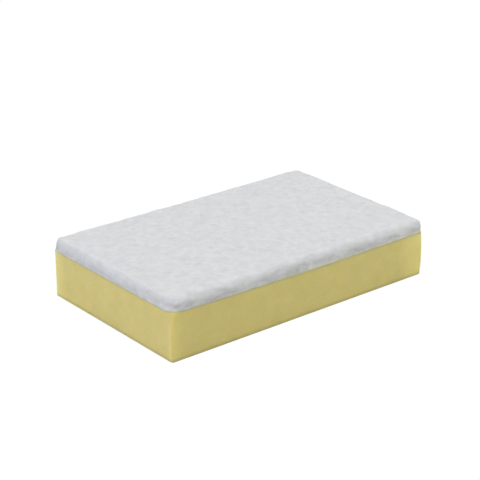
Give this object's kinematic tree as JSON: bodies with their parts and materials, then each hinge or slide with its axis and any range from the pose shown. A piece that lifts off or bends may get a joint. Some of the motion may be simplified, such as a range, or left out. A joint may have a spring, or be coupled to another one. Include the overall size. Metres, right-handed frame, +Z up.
{
  "type": "sponge scourer",
  "caption": "Flat rectangular sponge scourer: a yellow foam block with a thick white non-woven fibre pad bonded over its top, for wiping and light scouring.",
  "frame": {"origin": "middle of the foam block's flat bottom face", "axes": "+X along the length, +Y along the width, +Z up from the foam block to the scouring pad"},
  "size_m": [0.15, 0.091, 0.0289],
  "materials": {
    "foam": "matt open-celled yellow foam with fine, even pores and knife-cut faces",
    "pad": "matt white matted non-woven fibre, faintly mottled, with a soft uneven rim"
  },
  "bodies": {
    "root": {"foam_block": "foam", "scouring_pad": "pad"}
  },
  "joints": []
}
